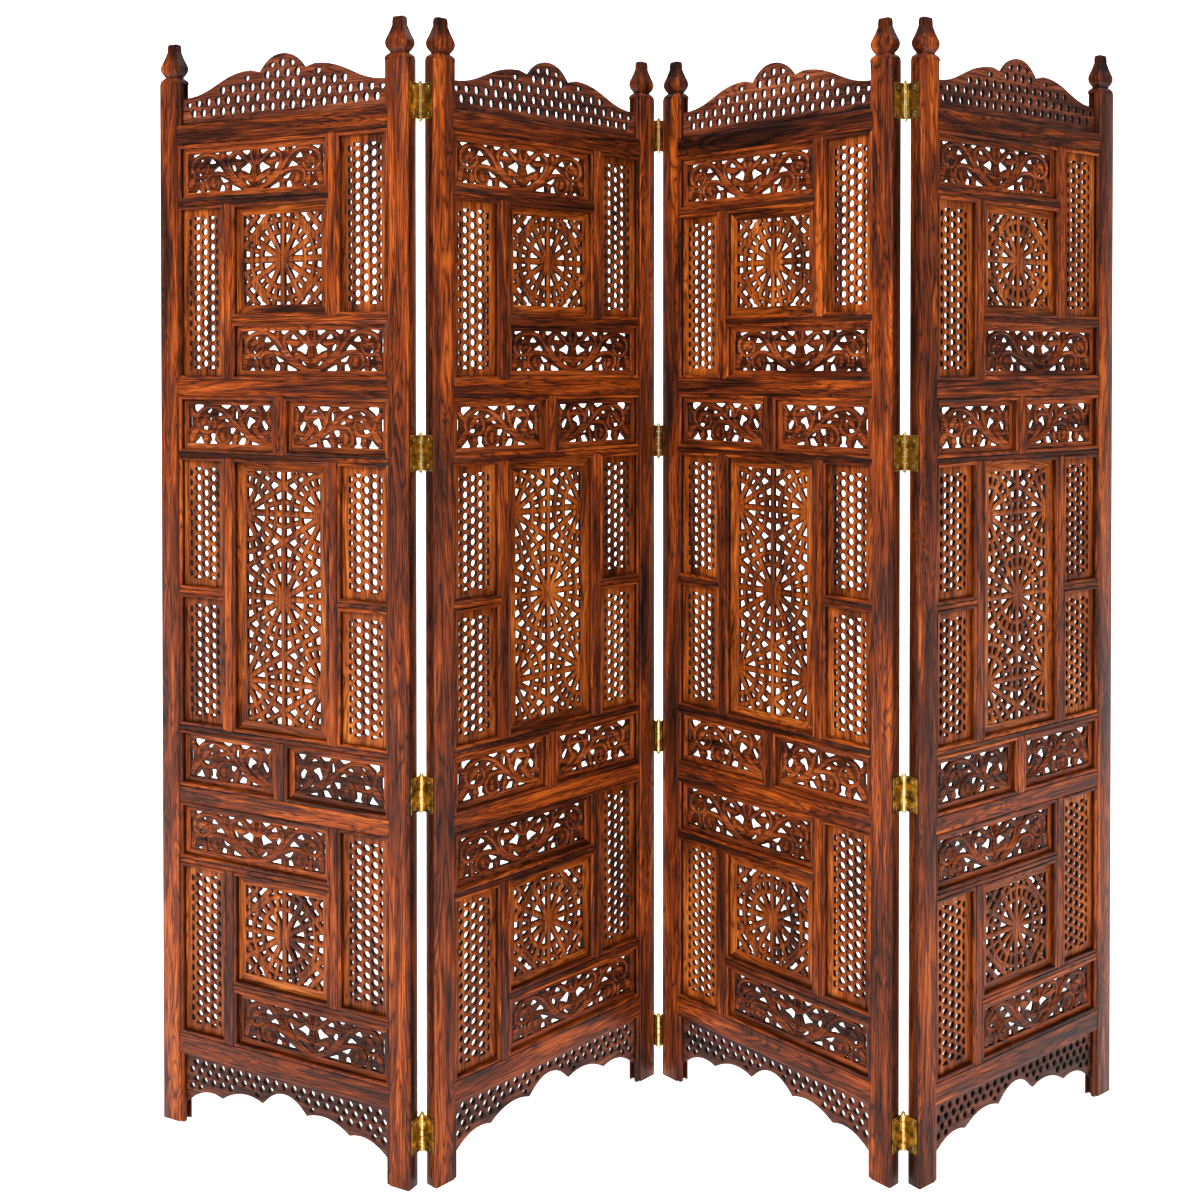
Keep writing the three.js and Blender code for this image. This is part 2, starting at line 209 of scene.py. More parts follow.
def rosewood(name, stops, codes, surface, floor_depth, middle, darkest):
    """Lacquered rosewood, with the colours called codes at these stops of its figure, which runs
    along the piece. It is darkened below the surface as painted shade: surface and floor_depth
    are distances from the depth called middle, in millimetres."""
    made, tree, shader = new_material(name)
    grain = attribute(tree, "grain")
    leaf = attribute(tree, "leaf")

    def stretched(along, across):
        return add(tree, "ShaderNodeVectorMath", {"operation": "MULTIPLY"},
                   n0=grain, n1=(1 / along, 1 / across, 1 / across)).outputs[0]

    def noise(vector, detail, distortion=0.0, rough=0.5):
        return add(tree, "ShaderNodeTexNoise", Vector=vector, Scale=1.0, Detail=detail,
                   Roughness=rough, Distortion=distortion).outputs[0]

    # Flames, growth lines in arches, fine lines and broad patches
    flames = noise(stretched(*flame_size), 3.0, 1.2, 0.5)
    arches = maths(tree, "MULTIPLY", noise(stretched(*growth_size), 2.0, 1.2), growth_lines)
    growth = maths(tree, "PINGPONG", arches, 0.5)
    fine = noise(stretched(*fine_size), 3.0, 0.8, 0.6)
    patch = noise(stretched(*patch_size), 1.0)
    figure = maths(tree, "MULTIPLY_ADD", flames, flame_share, figure_level)
    figure = maths(tree, "MULTIPLY_ADD", growth, growth_share, figure)
    figure = maths(tree, "MULTIPLY_ADD", fine, fine_share, figure)
    figure = maths(tree, "MULTIPLY_ADD", patch, patch_share, figure)
    colour = ramp(tree, figure, list(zip(stops, codes.split())))
    pores = add(tree, "ShaderNodeMapRange", Value=noise(stretched(*pore_size), 2.0),
                n1=0.3, n2=0.48, n3=pore_tone, n4=1.0)
    # Painted shade: the colour darkens with depth below the front and back faces, down in the
    # piercings and on side faces
    depth = add(tree, "ShaderNodeSeparateXYZ", n0=leaf).outputs["Y"]
    away = maths(tree, "ABSOLUTE", maths(tree, "SUBTRACT", depth, middle))
    painted_recess_shade = add(tree, "ShaderNodeMapRange", {"interpolation_type": "SMOOTHSTEP"},
                Value=away, n1=floor_depth, n2=surface, n3=darkest, n4=1.0)
    late_wood = add(tree, "ShaderNodeMapRange", Value=growth,
                    n1=0.0, n2=0.15, n3=late_wood_tone, n4=1.0)
    lines = maths(tree, "MULTIPLY", pores.outputs[0], late_wood.outputs[0])
    shade = maths(tree, "MULTIPLY", lines, painted_recess_shade.outputs[0])
    tinted = add(tree, "ShaderNodeVectorMath", {"operation": "SCALE"}, n0=colour, Scale=shade)
    gloss = add(tree, "ShaderNodeMapRange", Value=fine, n1=0.3, n2=0.7, n3=0.5, n4=0.34)
    bump = add(tree, "ShaderNodeBump", Strength=0.25, Distance=0.0006, Height=fine)
    feed(shader, Base_Color=tinted.outputs[0], Roughness=gloss.outputs[0], Normal=bump.outputs[0],
         Specular_IOR_Level=0.06, Coat_Weight=0.2, Coat_Roughness=0.2)
    return made


def aged_brass(name, pale_wear_and_highlight, bright, dull, scale):
    """Brass with brown patina in patches of about scale millimetres. Barrels, which stand in front
    of the leaf or behind it, and screw heads, which stand on the plates, are rubbed bright, and
    their paler colour is partly a painted highlight."""
    made, tree, shader = new_material(name)
    place = add(tree, "ShaderNodeTexCoord").outputs["Object"]
    patches = add(tree, "ShaderNodeTexNoise",
                  Vector=place, Scale=1 / (scale * MM), Detail=4.0).outputs[0]
    leaf = attribute(tree, "leaf")
    size = add(tree, "ShaderNodeVectorMath", {"operation": "ABSOLUTE"}, n0=leaf).outputs[0]
    spot = add(tree, "ShaderNodeSeparateXYZ", n0=size)
    # Barrels and screw heads are paler and glossier: rubbed brass, and partly a painted highlight
    on_barrel = maths(tree, "GREATER_THAN", spot.outputs["Y"], half_depth + 2)
    on_head = maths(tree, "GREATER_THAN", spot.outputs["X"], half_leaf + 2.15)
    rubbed_and_highlit = maths(tree, "MAXIMUM", on_barrel, on_head)
    wear_and_highlight = maths(tree, "MULTIPLY_ADD", rubbed_and_highlit, 0.3, patches)
    colour = ramp(tree, wear_and_highlight, [(0.36, dull), (0.66, bright), (0.9, pale_wear_and_highlight)])
    gloss = add(tree, "ShaderNodeMapRange", Value=wear_and_highlight, n1=0.4, n2=0.75, n3=0.42, n4=0.16)
    feed(shader, Base_Color=colour, Roughness=gloss.outputs[0], Metallic=1.0)
    return made


def plain(name, code, roughness, glow=0.0):
    made, _, shader = new_material(name)
    feed(shader, Base_Color=tone(code), Roughness=roughness, Emission_Color=tone(code),
         Emission_Strength=glow)
    return made


board_middle = (board_front + board_back) / 2
board_half = (board_back - board_front) / 2
board_stops = (0.0, 0.25, 0.48, 0.70, 0.95)
# Painted shade on posts and rails: darker towards the middle of their depth, on their side faces
bar_painted_shade = {"surface": half_depth - 1.5, "floor_depth": 6.5, "middle": 0.0, "darkest": 0.4}

# Satin lacquer over Indian rosewood: red-brown to orange with near-black streaks
frame_wood = rosewood(
    "lacquered rosewood, posts and rails", (0.0, 0.24, 0.46, 0.66, 0.92),
    "#180a05 #3a1a0e #632a12 #8f3b10 #cb6420", **bar_painted_shade)
# The top rail and the thin rails of each leaf are from the darkest planks
rail_wood = rosewood(
    "lacquered rosewood, dark rails", (0.0, 0.28, 0.52, 0.74, 0.98),
    "#120704 #2c1309 #4d200f #7b340f #bb5a1e", **bar_painted_shade)
# The boards are a little more orange, with painted shade that is brown-black down in the piercings
fret_wood = rosewood(
    "lacquered rosewood, fretwork", board_stops,
    "#28110a #59260e #893e13 #b05419 #d87b33",
    surface=board_half - 0.3, floor_depth=2.0, middle=board_middle, darkest=0.08)
# The scrolls are a redder brown, and the crest and the apron a dull, darker one
scroll_wood = rosewood(
    "lacquered rosewood, scrolls", board_stops,
    "#2a120a #562512 #873c19 #a84e1f #c96c32",
    surface=board_half - 0.5, floor_depth=1.3, middle=board_middle, darkest=0.1)
edge_wood = rosewood(
    "lacquered rosewood, crest and apron", board_stops,
    "#1a0c08 #3a1c12 #5f2d1d #7d3d25 #a85d38",
    surface=board_half - 0.1, floor_depth=2.4, middle=board_middle, darkest=0.12)
# Butt hinges: yellow brass with brown patina, pale where it is rubbed and with a painted highlight
hinge_brass = aged_brass("worn yellow brass with painted highlights", "#ecd795", "#cfa044", "#4e3c18", 11)
# Painted shade: dark slots in the screw heads, and a dark ring around each head
slot_shadow = plain("painted shade in the screw slots", "#1c140a", 0.9)


# Meshes, all in millimetres

def in_scene(name, data):
    made = bpy.data.objects.new(name, data)
    bpy.context.scene.collection.objects.link(made)
    return made


def mesh_of(curve):
    holder = in_scene("outline", curve)
    mesh = bpy.data.meshes.new_from_object(holder)
    bpy.data.objects.remove(holder)
    bpy.data.curves.remove(curve)
    return mesh


def new_curve(dimensions):
    curve = bpy.data.curves.new("outline", "CURVE")
    curve.dimensions = dimensions
    return curve


def extruded(outlines, length, edge=0.0, rings=0):
    """A prism along Z. The first outline is its rim, the others are its holes, and edge is how far
    its arrises are rounded."""
    curve = new_curve("2D")
    curve.fill_mode = "BOTH"
    curve.extrude = length / 2 - edge
    curve.bevel_depth = edge
    curve.bevel_resolution = rings
    curve.offset = -edge
    for outline in outlines:
        line = curve.splines.new("POLY")
        line.points.add(len(outline) - 1)
        for point, (x, y) in zip(line.points, outline):
            point.co = (x, y, 0, 1)
        line.use_cyclic_u = True
    return mesh_of(curve)


upright = Matrix.Rotation(math.pi / 2, 4, "X")


def board(outlines, front, back, edge, rings=1):
    """A board that stands in X and Z."""
    mesh = extruded(outlines, back - front, edge, rings)
    mesh.transform(Matrix.Translation((0, (front + back) / 2, 0)) @ upright)
    return mesh


def anticlockwise(loop):
    twice_area = sum(x0 * z1 - x1 * z0 for (x0, z0), (x1, z1) in zip(loop, loop[1:] + loop[:1]))
    return loop if twice_area > 0 else loop[::-1]


def ground(rim, holes, front, back):
    """A flat board with many holes that may touch one another."""
    loops = [anticlockwise(loop) for loop in (rim, *holes)]
    corners = [Vector(point) for loop in loops for point in loop]
    starts = np.cumsum([0, *map(len, loops)])
    numbers = [list(range(start, start + len(loop))) for start, loop in zip(starts, loops)]
    points, _, faces, _, _, inside = delaunay_2d_cdt(corners, [], numbers, 1, 1e-4)
    bm = bmesh.new()
    verts = [bm.verts.new((point.x, back, point.y)) for point in points]
    solid = [bm.faces.new([verts[i] for i in face])
             for face, within in zip(faces, inside) if list(within) == [0]]
    bmesh.ops.delete(bm, geom=[v for v in bm.verts if not v.link_faces], context="VERTS")
    made = bmesh.ops.extrude_face_region(bm, geom=solid, use_keep_orig=True)
    lifted = [v for v in made["geom"] if isinstance(v, bmesh.types.BMVert)]
    bmesh.ops.translate(bm, vec=(0, front - back, 0), verts=lifted)
    return finished(bm)


def points_of(mesh):
    points = np.empty(len(mesh.vertices) * 3, np.float32)
    mesh.vertices.foreach_get("co", points)
    return points.reshape(-1, 3)


def carved_lines(strokes, front, back, fullness, sides=2, straight=False):
    """Round bars that are carved in a board: each stroke is a list of (x, z, half width), which are
    the points of a curve or of a straight bar."""
    curve = new_curve("3D")
    curve.bevel_depth = 1
    curve.bevel_resolution = sides
    curve.use_fill_caps = True
    curve.resolution_u = 3
    for stroke in strokes:
        line = curve.splines.new("POLY" if straight else "BEZIER")
        points = line.points if straight else line.bezier_points
        points.add(len(stroke) - 1)
        for point, (x, z, half) in zip(points, stroke):
            point.co = (x, z, 0, 1) if straight else (x, z, 0)
            point.radius = half
            if not straight:
                point.handle_left_type = "AUTO"
                point.handle_right_type = "AUTO"
    mesh = mesh_of(curve)
    mesh.transform(upright)
    where = points_of(mesh)
    deepest = (back - front) / 2
    where[:, 1] = np.clip(where[:, 1] * fullness, -deepest, deepest) + (front + back) / 2
    mesh.vertices.foreach_set("co", where.ravel())
    return mesh


def rounded(bm, edges, offset, rings=1, profile=0.5):
    bmesh.ops.bevel(bm, geom=edges, offset=offset, segments=rings, profile=profile,
                    affect="EDGES", material=-1)


def square_block(x0, x1, y0, y1, z0, z1):
    bm = bmesh.new()
    bmesh.ops.create_cube(bm, size=1)
    bmesh.ops.scale(bm, vec=(x1 - x0, y1 - y0, z1 - z0), verts=bm.verts)
    bmesh.ops.translate(bm, vec=((x0 + x1) / 2, (y0 + y1) / 2, (z0 + z1) / 2), verts=bm.verts)
    return bm


def block(x0, x1, y0, y1, z0, z1, edge=arris):
    """A bar with rounded arrises."""
    bm = square_block(x0, x1, y0, y1, z0, z1)
    rounded(bm, bm.edges[:], edge)
    return finished(bm)


def finished(bm):
    bmesh.ops.recalc_face_normals(bm, faces=bm.faces)
    mesh = bpy.data.meshes.new("piece")
    bm.to_mesh(mesh)
    bm.free()
    return mesh


def together(meshes):
    """One mesh of several, with doubled points merged within each of them."""
    whole = bmesh.new()
    for mesh in meshes:
        bm = bmesh.new()
        bm.from_mesh(mesh)
        bmesh.ops.remove_doubles(bm, verts=bm.verts, dist=1e-3)
        bm.to_mesh(mesh)
        bm.free()
        whole.from_mesh(mesh)
        bpy.data.meshes.remove(mesh)
    mesh = bpy.data.meshes.new("piece")
    whole.to_mesh(mesh)
    whole.free()
    return mesh


UPRIGHT, LEVEL = 1, 2


def frame_board(rim, window, front, back, edge, rings=1):
    """A rectangular frame. Its faces carry the way of the grain on their side of the mitres."""
    mesh = board([rim, window], front, back, edge, rings)
    (rx0, rz0), (rx1, rz1) = rim[0], rim[2]
    (wx0, wz0), (wx1, wz1) = window[0], window[2]
    for face in mesh.polygons:
        x, z = face.center.x, face.center.z
        beside = min((x - rx0) / (wx0 - rx0), (rx1 - x) / (rx1 - wx1))
        below = min((z - rz0) / (wz0 - rz0), (rz1 - z) / (rz1 - wz1))
        face.material_index = UPRIGHT if beside < below else LEVEL
    return mesh


def rectangle(x0, x1, z0, z1):
    return [(x0, z0), (x1, z0), (x1, z1), (x0, z1)]


def softened(points, cut=0.25):
    """The outline with each corner cut off at this share of its sides."""
    soft = []
    for (x0, z0), (x1, z1) in zip(points, points[1:] + points[:1]):
        soft.append((x0 + (x1 - x0) * cut, z0 + (z1 - z0) * cut))
        soft.append((x1 + (x0 - x1) * cut, z1 + (z0 - z1) * cut))
    return soft


def swing(a, b, c, steps=8, d=None):
    """Points along a curve from a to c that is drawn towards b, or from a to d and drawn towards b
    and c, without its last point."""
    points = []
    for i in range(steps):
        t = i / steps
        s = 1 - t
        if d is None:
            weights = ((a, s * s), (b, 2 * s * t), (c, t * t))
        else:
            weights = ((a, s ** 3), (b, 3 * s * s * t), (c, 3 * s * t * t), (d, t ** 3))
        points.append(tuple(sum(p[k] * w for p, w in weights) for k in (0, 1)))
    return points


# Pierced boards

def lattice(x0, x1, z0, z1, box):
    """Staggered columns of rounded six-sided holes, halved where they meet the window's sides."""
    rows = round((z1 - z0) / lattice_pitch)
    rise = (z1 - z0) / rows
    step = (x1 - x0) / lattice_columns
    wide, shoulder, high = step * 0.44, step * 0.23, rise * 0.31
    holes = []
    for column in range(lattice_columns + 1):
        cx = x0 + column * step
        shift = 0.5 if column % 2 == 0 else 0.0
        for row in range(rows + 1):
            cz = z0 + (row + shift) * rise
            if cz > z1 + 0.1:
                continue
            ring = [(wide, 0), (shoulder, high), (-shoulder, high),
                    (-wide, 0), (-shoulder, -high), (shoulder, -high)]
            holes.append(softened([
                (min(max(cx + dx, x0), x1), min(max(cz + dz, z0), z1)) for dx, dz in ring]))
    return [board([box, *holes], board_front, board_back, hole_round)]


def clipped(a, b, x0, x1, z0, z1):
    """The part of the line from a to b that is inside the window, or None."""
    t0, t1 = 0.0, 1.0
    dx, dz = b[0] - a[0], b[1] - a[1]
    for run, low, high, start in ((dx, x0, x1, a[0]), (dz, z0, z1, a[1])):
        if abs(run) < 1e-9:
            if not low <= start <= high:
                return None
            continue
        near, far = sorted(((low - start) / run, (high - start) / run))
        t0, t1 = max(t0, near), min(t1, far)
    if t1 - t0 < 0.02:
        return None
    return [(a[0] + dx * t, a[1] + dz * t) for t in (t0, t1)]


def rosette_lines(cx, cz, node_at, edge_at):
    """Spokes, two rings, and the second spokes outside the inner ring. Every other spoke ends at a
    node, where six bars meet, and the others at the middle of an edge to the next rosette."""
    def at(radius, angle):
        return cx + radius * math.cos(angle), cz + radius * math.sin(angle)

    step = 2 * math.pi / spoke_count
    outside = edge_at / math.cos(step / 2)
    lines = []
    for i in range(spoke_count):
        angle = i * step
        between = angle + step / 2
        end = node_at if i % 2 else edge_at
        lines.append((at(0, angle), at(end, angle), spoke_half))
        lines.append((at(inner_ring, between), at(outside, between), spoke_half * 0.85))
        for ring in (inner_ring, outer_ring):
            lines.append((at(ring, angle), at(ring, between), spoke_half * 0.9))
            lines.append((at(ring, between), at(ring, angle + step), spoke_half * 0.9))
    return lines


def pierced(lines, x0, x1, z0, z1, box):
    """A board with a window that is filled by straight carved bars."""
    strokes = []
    for a, b, half in lines:
        inside = clipped(a, b, x0, x1, z0, z1)
        if inside:
            strokes.append([(x, z, half) for x, z in inside])
    return [frame_board(box, rectangle(x0, x1, z0, z1), board_front, board_back, board_round),
            carved_lines(strokes, board_front + 0.2, board_back - 0.2, 0.75, straight=True)]


def rosette(x0, x1, z0, z1, box):
    """One rosette in a square window, with two straight bars across each corner and one into it."""
    cx, cz = (x0 + x1) / 2, (z0 + z1) / 2
    half = (x1 - x0) / 2
    ring = outer_ring * 0.7
    lines = rosette_lines(cx, cz, half * 1.2, half)
    near = half * math.tan(math.radians(15))
    far = half * math.tan(math.radians(30))
    for sx in (-1, 1):
        for sz in (-1, 1):
            for a, b, c, d, width in ((half, near, near, half, spoke_half),
                                      (half, far, far, half, spoke_half),
                                      (ring, ring, half, half, spoke_half * 0.85)):
                lines.append(((cx + sx * a, cz + sz * b), (cx + sx * c, cz + sz * d), width))
    return pierced(lines, x0, x1, z0, z1, box)


def star(x0, x1, z0, z1, box):
    """Rosettes in a triangular pattern: one in the middle, halves on both sides above and below it,
    and the feet of two more at the ends. Six straight bars part each rosette from the next ones."""
    cx, cz = (x0 + x1) / 2, (z0 + z1) / 2
    edge_at = (x1 - x0) / 2
    node_at = edge_at / math.cos(math.pi / 6)
    rise = 2 * edge_at * math.cos(math.pi / 6)
    lines = []
    for x, z in [(cx, cz), (cx, cz - 2 * rise), (cx, cz + 2 * rise),
                 (x0, cz - rise), (x1, cz - rise), (x0, cz + rise), (x1, cz + rise)]:
        lines += rosette_lines(x, z, node_at, edge_at)
        for i in range(6):
            a, b = [(x + node_at * math.cos(turn), z + node_at * math.sin(turn))
                    for turn in (math.radians(30 + 60 * i), math.radians(90 + 60 * i))]
            lines.append((a, b, spoke_half * 0.9))
    return pierced(lines, x0, x1, z0, z1, box)


# Scrolls are drawn on half of a wide board or on a small one, in hundredths: from the spirals at 0
# to where the stems rise at 100, and from the window's foot at 0 to its head at 100. A stroke's
# third number is its half width in millimetres, before scroll_half widens it.

wide_piercings = [
    [(6, 97), (20, 100), (10, 90)],
    [(36, 100), (47, 100), (41.5, 91)],
    [(56, 100), (67, 100), (64, 93), (58, 93)],
    [(80, 100), (94, 100), (87.5, 88)],
    [(0, 82), (2.5, 78), (2.5, 44), (0, 42)],
    [(18, 82), (22, 85), (20.5, 74)],
    [(35.5, 86), (42, 74), (31, 73)],
    [(74, 92), (80, 79), (70, 82)],
    [(45.5, 65), (53, 48), (37, 53)],
    [(67, 68), (70, 59), (71.5, 53), (67, 41), (65, 54)],
    [(89, 68), (94, 58), (91, 40), (86, 49), (78, 54), (86, 60)],
    [(15, 55), (19.5, 44), (16, 44)],
    [(47, 38.5), (61, 24.5), (53, 22.5)],
    [(68.5, 34), (74.5, 21), (70, 23)],
    [(85.5, 26), (90, 20), (97, 1), (88, 10)],
    [(15, 32), (26, 32), (21, 18)],
    [(14, 8), (18, 0), (10, 0)],
    [(29, 7), (32.5, 0), (26, 0)],
    [(50, 16), (53.5, 12), (54, 0), (46.5, 0)],
    [(65.5, 15), (80, 0), (65, 0)],
]
small_piercings = [
    [(6, 100), (18, 100), (10, 80), (6.5, 83)],
    [(28, 93), (24.5, 80), (21, 83)],
    [(37, 100), (51, 100), (45, 90)],
    [(60, 100), (72, 100), (67, 91), (60, 92)],
    [(88, 100), (97, 100), (97, 95), (92.5, 84)],
    [(77.7, 94), (82, 83), (73.5, 87)],
    [(37.5, 81), (41.5, 74), (34.5, 74)],
    [(56, 87), (58, 85), (58, 65), (56, 68)],
    [(73, 72), (80, 59), (74, 53), (73, 37), (69.5, 50)],
    [(90.5, 63), (94.5, 49), (92, 35), (90, 45), (87.5, 57)],
    [(25.5, 70), (27, 62), (24, 63)],
    [(45, 65), (52, 52), (48, 50), (42.5, 60)],
    [(0, 70), (2.5, 70), (2.5, 45), (0, 37)],
    [(18, 44), (22.5, 43), (20, 30), (15.5, 38)],
    [(50, 41), (56, 39), (52, 26), (49.5, 31)],
    [(60.5, 33.5), (66, 25), (62, 25.5)],
    [(79.5, 29), (85.5, 13), (81, 18)],
    [(94, 23), (97, 7), (91.5, 16)],
    [(13, 22), (14.5, 11), (17, 0), (6, 0), (11, 10)],
    [(25.5, 24), (31, 25), (30, 10), (33.5, 0), (24, 0), (27, 10)],
    [(50, 13), (51.5, 0), (45.5, 2)],
    [(64, 17), (68, 14), (66.5, 0), (58.5, 0)],
    [(75.5, 8), (85, 0), (75, 0)],
]
wide_stems = [
    [(100, -3, 3.4), (85, 8, 3.4), (73, 21, 3.3), (64, 39, 3.2), (56, 61, 3.1), (48, 81, 3.0),
     (38, 94, 2.9), (22, 95, 2.9), (10, 84, 2.9), (5.5, 62, 2.9), (10, 44, 2.8), (20, 38, 2.7),
     (28, 49, 2.5), (30, 66, 2.2), (25, 76, 1.8)],
    [(63, 34, 2.6), (53, 43, 2.8), (41, 47, 2.8), (30, 40, 2.8), (27, 22, 2.7), (32, 5, 2.5),
     (41, 1, 2.4), (46, 12, 2.2), (44, 27, 2.0), (40, 33, 1.4)],
    [(97, 0, 2.6), (80, 19, 3.1), (68.5, 39, 3.1), (62, 63, 2.9), (62, 82, 2.7), (68, 94, 2.8),
     (77, 96, 2.8), (85, 81, 2.9), (92, 71, 2.9), (100, 65, 3.2)],
    [(100, 64, 3.0), (95.5, 80, 2.8), (95, 102, 2.6)],
]
wide_leaves = [
    [(28, 80, 1.6), (20, 70, 4.2), (15, 62, 3.6), (13, 50, 1.6)],
    [(31, 62, 1.6), (24, 62, 3.0), (20, 54, 2.0)],
    [(40, 36, 1.6), (37, 24, 4.0), (40, 12, 3.4), (42, 6, 1.2)],
    [(9, 40, 3.0), (5, 22, 5.0), (4, 5, 3.6)],
    [(20, 34, 2.0), (22, 14, 4.2), (22, -2, 3.0)],
    [(52, 74, 1.6), (52, 90, 3.4), (52, 100, 2.0)],
    [(57, 22, 2.2), (59, 10, 3.6), (59, 0, 2.6)],
    [(62, 74, 2.2), (70, 72, 4.4), (79, 68, 4.0), (84, 72, 2.0)],
    [(78, 22, 2.0), (80, 38, 4.4), (78, 46, 2.2)],
    [(80, 38, 3.0), (90, 30, 3.8), (100, 22, 4.0)],
    [(100, 66, 3.6), (100, 46, 4.6), (100, 28, 5.2), (100, 10, 4.0)],
    [(100, 74, 1.8), (100, 88, 3.2), (100, 100, 2.4)],
]
small_stems = [
    [(100, -3, 3.4), (88, 6, 3.4), (76, 17, 3.3), (64, 36, 3.2), (54, 60, 3.1), (44, 83, 3.0),
     (32, 95, 2.9), (19, 92, 2.9), (10, 70, 2.9), (12, 42, 2.9), (22, 30, 2.8), (31, 42, 2.6),
     (31, 62, 2.3), (27, 76, 1.8)],
    [(63, 38, 2.6), (55, 48, 2.8), (45, 52, 2.8), (37, 44, 2.8), (33.5, 22, 2.6), (37, 5, 2.5),
     (44, 2, 2.4), (49, 14, 2.2), (47.5, 30, 2.0), (44, 36, 1.4)],
    [(96, 0, 2.8), (82, 13, 3.2), (70, 34, 3.4), (64, 58, 3.3), (62, 80, 3.1), (57, 100, 2.6)],
    [(65, 70, 2.6), (70, 87, 2.8), (79, 97, 2.9), (86.5, 82, 2.9), (84.5, 60, 2.8), (82, 46, 2.6)],
]
small_leaves = [
    [(27, 78, 1.6), (21, 68, 4.2), (17, 54, 3.6), (14, 44, 2.0)],
    [(30, 60, 1.6), (25, 56, 3.2), (24, 44, 2.0)],
    [(44, 38, 1.6), (41, 26, 4.0), (42, 13, 3.4), (45, 7, 1.2)],
    [(20, 30, 2.4), (21, 14, 4.4), (20, -2, 3.0)],
    [(12, 42, 3.0), (6, 25, 5.2), (2, 8, 4.2)],
    [(2, 90, 3.2), (6, 76, 4.0), (10, 66, 2.4)],
    [(34, 66, 2.2), (40, 68, 3.6), (48, 74, 2.4)],
    [(52, 70, 2.4), (54, 86, 3.4), (54, 100, 2.4)],
    [(58, 40, 2.4), (57, 20, 3.8), (55, 0, 3.0)],
    [(72, 20, 2.4), (71, 8, 4.0), (70, -2, 3.0)],
    [(67, 72, 1.8), (75, 79, 4.2), (84, 74, 3.0), (88, 66, 1.8)],
    [(100, 0, 3.0), (92, 13, 3.2), (85, 26, 3.8), (80, 42, 4.6), (78, 50, 2.0)],
    [(100, 24, 2.8), (96.5, 42, 3.0), (97.5, 60, 3.4), (96, 80, 3.4), (99, 98, 2.6)],
    [(86, 30, 2.0), (93, 32, 3.4), (98, 34, 2.4)],
]


def scroll_half(piercings, stems, leaves, x_from, x_to, z0, z1):
    """The holes of one half, and its carving: round stems and leaves in the board's thickness, with
    narrow crests on them. x_from is where its spirals are, and x_to where its stems start."""
    def at(u, v):
        return x_from + (x_to - x_from) * (u / 100), z0 + (z1 - z0) * (v / 100)

    def grown(points):
        """The hole, a little wider and higher, as far as the window allows."""
        cx = sum(x for x, _ in points) / len(points)
        cz = sum(z for _, z in points) / len(points)
        return [(min(max(x + math.copysign(1.5, x - cx), low), high),
                 min(max(z + math.copysign(0.8, z - cz), z0), z1)) for x, z in points]

    def laid(strokes, share):
        return [[(*at(u, v), half * share) for u, v, half in stroke] for stroke in strokes]

    low, high = min(x_from, x_to), max(x_from, x_to)
    holes = [softened(grown([at(u, v) for u, v in hole]), 0.13) for hole in piercings]
    carving = [
        carved_lines(laid(stems, 1.35), board_front + 0.2, board_back - 0.2, 1.2),
        carved_lines(laid(leaves, 1.35), board_front + 0.7, board_back - 0.7, 1.0),
        carved_lines(laid(stems, 0.42), board_front - 0.5, board_back + 0.5, 5.0, sides=0),
        carved_lines(laid(leaves, 0.3), board_front + 0.1, board_back - 0.1, 5.0, sides=0),
    ]
    return holes, carving


def scroll_board(x0, x1, z0, z1, box, halves):
    """A board of one or two halves. A thin ground between their strokes holds the holes."""
    holes = [hole for half_holes, _ in halves for hole in half_holes]
    between = ground(rectangle(x0 - 1, x1 + 1, z0 - 1, z1 + 1), holes,
                     board_front + ground_depth, board_back - ground_depth)
    rim = frame_board(box, rectangle(x0, x1, z0, z1), board_front, board_back, board_round)
    return [rim, between, *[mesh for _, carving in halves for mesh in carving]]


def scroll(x0, x1, z0, z1, box):
    """A wide board: two halves that mirror each other."""
    cx = (x0 + x1) / 2
    halves = [scroll_half(wide_piercings, wide_stems, wide_leaves, x, cx, z0, z1) for x in (x0, x1)]
    return scroll_board(x0, x1, z0, z1, box, halves)


def small_scroll(x0, x1, z0, z1, box):
    """A board of half the width, with its stems starting at the leaf's middle."""
    ends = (x0, x1) if x1 < 0 else (x1, x0)
    half = scroll_half(small_piercings, small_stems, small_leaves, *ends, z0, z1)
    return scroll_board(x0, x1, z0, z1, box, [half])


def rimmed_holes(columns, levels, pitch, wide, high, top_limit, low_limit):
    """Staggered rows of upright ovals. Where the rim cuts an oval it is shortened, or left out."""
    holes = []
    for row, level in enumerate(levels):
        for column in range(-columns, columns + 1):
            cx = (column + 0.5 * (row % 2)) * pitch
            ring = [(0, high), (-wide, high * 0.42), (-wide, -high * 0.42), (0, -high),
                    (wide, -high * 0.42), (wide, high * 0.42)]
            corners = [(cx + dx, min(max(level + dz, low_limit(cx + dx)), top_limit(cx + dx)))
                       for dx, dz in ring]
            heights = [z for _, z in corners]
            inside = low_limit(cx) - high * 0.3 < level < top_limit(cx) + high * 0.3
            tall = max(heights) - min(heights) > high * 1.1
            if inside and tall and abs(cx) < half_opening - wide - 4:
                holes.append(softened(corners))
    return holes


# Outlines of crest and apron: distances from the leaf's middle, and heights above the top rail or
# the floor. Their holes: pitch along a row and from row to row, half width and half height, and the
# least wood to the rim.
crest_end_rise = 46
crest_shoulder = (66, 82)
crest_cusp = (46, 77)
crest_hole = {"pitch": 21, "wide": 4.7, "high": 8.3}
crest_row_pitch = 17.5
crest_margin = 9
apron_cusps = ((46, 65), (132, 53))
apron_peak = 90
apron_hole = {"pitch": 19, "wide": 4.8, "high": 6.4}
apron_row_pitch = 14
apron_top_margin, apron_margin = 5, 7
hole_rows = 5


def height_along(line):
    """A function that gives an outline's height at any X."""
    xs, zs = zip(*sorted(line))
    return lambda x: float(np.interp(x, xs, zs))


